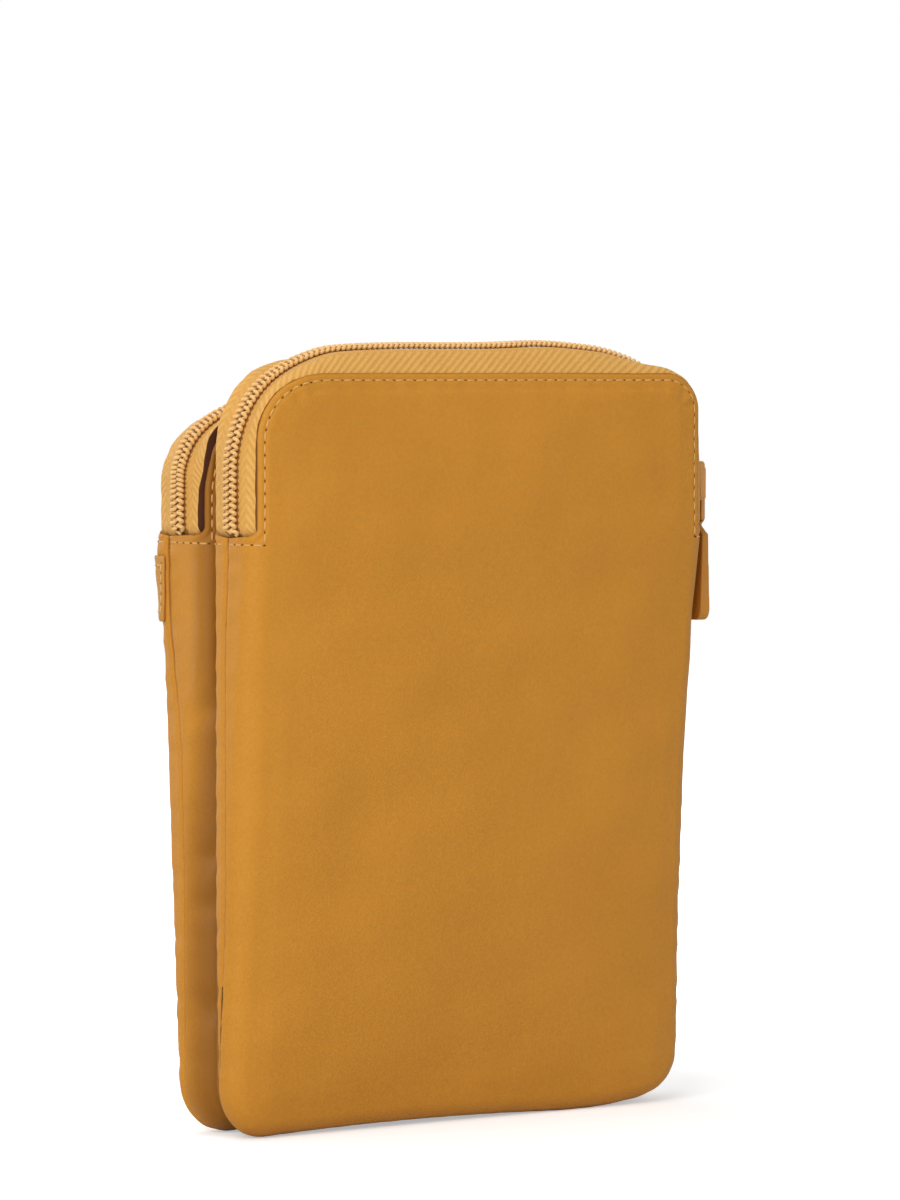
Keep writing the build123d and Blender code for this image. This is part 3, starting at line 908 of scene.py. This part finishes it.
NYLON = nylon("nylon_twill")
INNER_NYLON = {side: nylon(f"nylon_twill_{side}_inner", fold) for side, fold in FOLD_SHADE.items()}
LINING = plain_weave("lining_weave", (0.30, 0.14, 0.03), (0.46, 0.24, 0.07), 0.5)
TAPE = herringbone("zip_tape_herringbone", (0.50, 0.235, 0.035), (0.78, 0.43, 0.115))
COIL = moulded("coil_nylon", (0.66, 0.36, 0.10), (0.88, 0.56, 0.22), 0.40, depth=0.01)
THREAD = plain_weave("sewing_thread", (0.58, 0.29, 0.07), (0.80, 0.48, 0.17), 0.3, 0.05, 0.5, mapped=False)
# painted shade: the dark slit where the rear inner tape gapes away from its panel
SHADE = plain_weave("seam_allowance", (0.05, 0.012, 0.004), (0.10, 0.028, 0.008), 0.5, 0.05, 0.9, sheen=0.0)
# painted shade: the dark groove along a folded edge, beside the tapes and under the hems
RIM_SHADE = plain_weave("tape_edge", (0.13, 0.045, 0.008), (0.24, 0.09, 0.016), 0.5, 0.05, 0.9, sheen=0.0)
# painted shade: the dark inside of a needle hole
HOLE = moulded("needle_hole", (0.10, 0.034, 0.006), (0.17, 0.062, 0.010), 0.9, specular=0.1)
METAL = moulded("slider_paint", (0.52, 0.22, 0.028), (0.62, 0.29, 0.05), 0.36, specular=0.5, coat=0.15)
RUBBER = moulded("puller_rubber", (0.42, 0.165, 0.014), (0.54, 0.225, 0.024), 0.6, depth=0.02)
BAND = plain_weave("band_weave", (0.46, 0.2, 0.03), (0.66, 0.34, 0.08), 0.8, depth=0.2)


# -------- the pouches

def make_pouch(p):
    """All the cloth, tape, coil and thread of one pouch. Gives its outer cloth."""
    side = p.side
    outer, inner = Cloth(p, True), Cloth(p, False)
    bag, flap = Cloth(p, False, BAG_INSET[side], fine=False), Cloth(p, True, FLAP_INSET, fine=False)
    panels = f"{side}_outer_panel", f"{side}_flap_panel"
    belongs(outer.build("outer_cloth", NYLON), "nylon", *panels, fold=p, fill=FILL)
    belongs(inner.build("inner_cloth", INNER_NYLON[side]), "nylon", f"{side}_inner_panel", fill=FILL)
    belongs(bag.build("lining_cloth", LINING, hem=False), "lining", f"{side}_lining")
    belongs(flap.build("flap_lining_cloth", LINING, hem=False), "lining", f"{side}_flap_lining", fold=p)
    for half, fold in ((outer, p), (inner, None)):
        belongs(tape(p, half.outer), "zip_tape", f"{half.name}_tape", fold=fold)
        belongs(coil(p, half.outer, half.name), "zip_coil", f"{half.name}_coil", fold=fold)
    belongs(stitches(f"{side}_outer_topstitch", [outer.rim_stitch_path()]), "nylon", fold=p)
    rows = [inner.rim_stitch_path()]
    seam = float(side_seam(p, np.array([p.zip_end - U_ROW]))[0])
    for way in (-1, 1):
        rows.append(outer.row_path(way, seam + 0.6))
        rows.append(inner.row_path(way, -seam + 0.6))
    belongs(stitches(f"{side}_side_topstitch", rows), "nylon")
    return outer


# -------- strap loops and joining strip

def ribbon(name, rows, out, material, half):
    """A band from rows of points along it, with its outward directions, as thick as twice half."""
    rounded = np.full((len(rows), 1, 1), half)
    rounded[[0, -1]] *= 0.45
    thick = out * rounded
    points, faces = two_sided(rows + thick, rows - thick)
    piece = new_object(name, points, faces, [material])
    width = run_of(rows[len(rows) // 2])
    across = np.broadcast_to(np.concatenate([width, width[::-1]]), points.shape[:2])
    weave(piece, np.stack([across, np.broadcast_to(rows[:, :1, 2], across.shape)], -1))
    return piece


def strap_band(cloth, side):
    """The band sewn on beside the side seam, round the rear panel's edge, arched off it as a
    tunnel for the strap, and sewn down again."""
    way = -1.0 if side == "left" else 1.0
    low, high = (corner[2] + BAND_LIFT for corner in node_box("left_strap_loop"))
    heights = np.concatenate([[low], np.linspace(low + 0.5, high - 0.5, BAND_ROWS), [high]])
    lines = np.where((cloth.nx * way > 0.9) & (cloth.z > low - 4) & (cloth.z < high + 4))[0]
    lines = lines[np.argsort(cloth.z[lines])]
    face = cloth.grid.reshape(-1, 3)
    face = face[np.abs(face[:, 2] - (low + high) / 2) < 16]
    tree = search_tree(face * (1, 0, 1))
    alongs = np.linspace(cloth.edge[lines].max() + 0.5, cloth.end[lines[0]] + 4.5, SIDE_POINTS)
    table = np.array([[cloth.on_line(i, a) for i in lines] for a in alongs])
    share = np.linspace(0, 1, FACE_POINTS)[1:]
    rows, outs = [], []
    for z in heights:
        found = np.array([between(z, column[:, 2], column) for column in table])
        out = unit(found[:, 3:])
        line = np.column_stack([found[:, :2], np.full(len(found), z)]) + out * BAND_OFF
        start_x, start_y = line[-1, :2]
        run = start_x + (way * BAND_END - start_x) * share
        base = [np.mean([face[near[1]][1] for near in tree.find_n((x, 0.0, z), 4)]) for x in run]
        base = np.convolve(np.pad(base, 3, mode="edge"), np.ones(7) / 7, mode="valid") + BAND_OFF
        base = base + (start_y - base[0]) * (1 - smooth(share * 4))
        arch = ramp(np.abs(run), TUNNEL_END, TUNNEL_SLOPE) * ramp(np.abs(run), TUNNEL_START, -TUNNEL_SLOPE)
        whole = np.concatenate([line, np.stack([run, base + ARCH_RISE * arch, np.full_like(run, z)], 1)])
        outward = unit(np.cross(unit(np.gradient(whole, axis=0)), np.array([0.0, 0.0, 1.0])))
        rows.append(whole)
        outs.append(outward * np.sign(np.sum(outward[3] * out[3])))
    rows, outs = np.array(rows), np.array(outs)
    if side == "right":
        rows, outs = rows[::-1], outs[::-1]
    belongs(ribbon(f"{side}_strap_band", rows, outs, BAND, BAND_HALF), "webbing", f"{side}_strap_loop")
    top = np.concatenate([rows + outs * BAND_HALF, outs], -1)
    paths = []
    for height in (low + TACK_IN, high - TACK_IN):
        i = int(np.argmin(np.abs(rows[:, 0, 2] - height)))
        paths += [top[i, 1:22], top[i, -9:-1]]
    paths += [top[1:-1, column] for column in (2, -8, -2)]
    belongs(stitches(f"{side}_strap_stitches", paths, TACK_PITCH, TACK_LENGTH, TACK_HOLE), "webbing")


def joining():
    """The strip of cloth between the two inner panels, down both sides and across the base."""
    line = Outline(FRONT, False)
    x, z, nx, nz = opened(line.lines.T[line.z < FRONT.zip_end - 0.5]).T[..., None]
    y = 0.05 * pucker(np.arange(len(x)) * 1.8, 0.4)[:, None]
    rows = np.stack(np.broadcast_arrays(x - nx * STRIP_DEPTHS, y, z - nz * STRIP_DEPTHS), -1)
    out = np.broadcast_to([0.0, -1.0, 0.0], rows.shape)
    # the rear inner nylon gives the strip its painted shade of the fold between the pouches
    strip = ribbon("joining_strip_cloth", settle(FRONT, rows), out, INNER_NYLON["rear"], STRIP_HALF)
    belongs(strip, "nylon", "joining_strip")


# -------- sliders, tabs and pullers

def cast(p, node, name, body, material, voxel, rounds, slim=1.0, short=1.0):
    """A moulded piece with softly rounded edges, in the shape and place of its CAD node, but a
    little nearer to the tape and, where the photo shows it so, slimmer and shorter."""
    node, name, body = (f"{p.side}_{part}" for part in (node, name, body))
    source = bpy.data.objects[node]
    mesh = source.data.copy()
    mesh.transform(source.matrix_world)
    middle = p.sign * p.middle * MM
    level = sum(corner[2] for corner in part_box(node)) / 2
    for vertex in mesh.vertices:
        vertex.co.x -= NEARER * MM
        vertex.co.y = middle + (vertex.co.y - middle) * slim
        vertex.co.z = level + (vertex.co.z - level) * short
    mesh.materials.clear()
    raw = link(name + "_raw", mesh)
    remesh, relax = raw.modifiers.new("remesh", "REMESH"), raw.modifiers.new("relax", "SMOOTH")
    remesh.mode, remesh.voxel_size = "VOXEL", voxel * MM
    relax.factor, relax.iterations = 0.5, rounds
    bpy.context.view_layer.update()
    shape = bpy.data.meshes.new_from_object(raw.evaluated_get(bpy.context.evaluated_depsgraph_get()))
    bpy.data.objects.remove(raw)
    shape.name = name
    shape.polygons.foreach_set("use_smooth", [True] * len(shape.polygons))
    shape.materials.append(material)
    belongs(link(name, shape), "puller" if material is RUBBER else "slider_metal", node, body=body)


# -------- floor, light and camera

WHITE = (1.0, 1.0, 1.0)
FLOOR_HALF = 2000.0
SKY = 0.32
LAMPS = {"key": ((-1.18, -0.79, 0.80), 0.8, 15.0), "fill": ((0.3, -1.7, 0.6), 1.4, 5.0),
         "top": ((-0.3, 0.2, 1.6), 1.0, 8.0), "back": ((-0.2, 1.7, 0.5), 1.2, 7.0)}  # place, size and power
LAMP_AIM = Vector((0, 0, 0.09))
AZIMUTH, ELEVATION = math.radians(-36.0), math.radians(2.2)
DISTANCE = 1.385
LENS = 173.67
AIM_ASIDE, AIM_HEIGHT = 2.5 * MM, 124.43 * MM


def studio():
    """A floor and a sky that the camera sees as white, but that light the object plainly."""
    made, place = new_material("studio_floor")
    seen = made.add("LightPath", output="Is Camera Ray")
    away = made.add("VectorMath", {0: place}, "Value", operation="LENGTH")
    strength = seen * made.ranged(away, 0.10, 0.19, 0.42, kind="SMOOTHSTEP")
    glow = made.add("Emission", {"Color": WHITE, "Strength": strength})
    diffuse = made.add("BsdfDiffuse", {"Color": (0.85, 0.85, 0.85)})
    made.add("OutputMaterial", {"Surface": made.add("AddShader", {0: diffuse, 1: glow})})
    corners = np.array([(-1, -1, 0), (1, -1, 0), (1, 1, 0), (-1, 1, 0)])
    new_object("studio_floor", corners * FLOOR_HALF, [(0, 1, 2, 3)], [made.owner])

    made = Shading(bpy.data.worlds.new("studio"))
    camera_ray, glossy_ray = (made.add("LightPath", output=f"Is {ray} Ray") for ray in ("Camera", "Glossy"))
    seen = made.math("MAXIMUM", camera_ray, glossy_ray)
    sky = made.add("Background", {"Color": WHITE, "Strength": seen * (1.0 - SKY) + SKY})
    made.add("OutputWorld", {"Surface": sky})
    bpy.context.scene.world = made.owner

    for name, (place, size, power) in LAMPS.items():
        light = bpy.data.lights.new(name, "AREA")
        light.shape, light.size, light.energy = "SQUARE", size, power
        aimed(name, light, Vector(place), LAMP_AIM - Vector(place))


def aimed(name, data, place, way):
    """A lamp or camera at a place, turned so that it looks one way."""
    made = link(name, data)
    made.location = place
    made.rotation_euler = way.to_track_quat("-Z", "Y").to_euler()
    return made


def camera():
    data = bpy.data.cameras.new("camera")
    data.lens, data.sensor_width, data.clip_start, data.clip_end = LENS, 36.0, 0.05, 20.0
    aside = Vector((math.cos(AZIMUTH), math.sin(AZIMUTH), 0))
    flat = math.cos(ELEVATION)
    back = Vector((math.sin(AZIMUTH) * flat, -math.cos(AZIMUTH) * flat, math.sin(ELEVATION)))
    place = aside * AIM_ASIDE + Vector((0, 0, AIM_HEIGHT)) + back * DISTANCE
    bpy.context.scene.camera = aimed("camera", data, place, -back)


make_pouch(FRONT)
rear_cloth = make_pouch(REAR)
strap_band(rear_cloth, "left")
strap_band(rear_cloth, "right")
joining()
for p in (FRONT, REAR):
    cast(p, "slider_body", "slider_casting", "slider", METAL, voxel=0.2, rounds=22, short=0.92)
    cast(p, "slider_crown", "crown_casting", "slider", METAL, voxel=0.16, rounds=10, slim=0.8)
    cast(p, "pull_tab", "tab_casting", "tab", METAL, voxel=0.16, rounds=6, slim=0.8)
    cast(p, "puller", "puller_tongue", "puller", RUBBER, voxel=0.2, rounds=4, slim=0.74)
studio()
camera()
bpy.context.scene.view_settings.view_transform = "Standard"
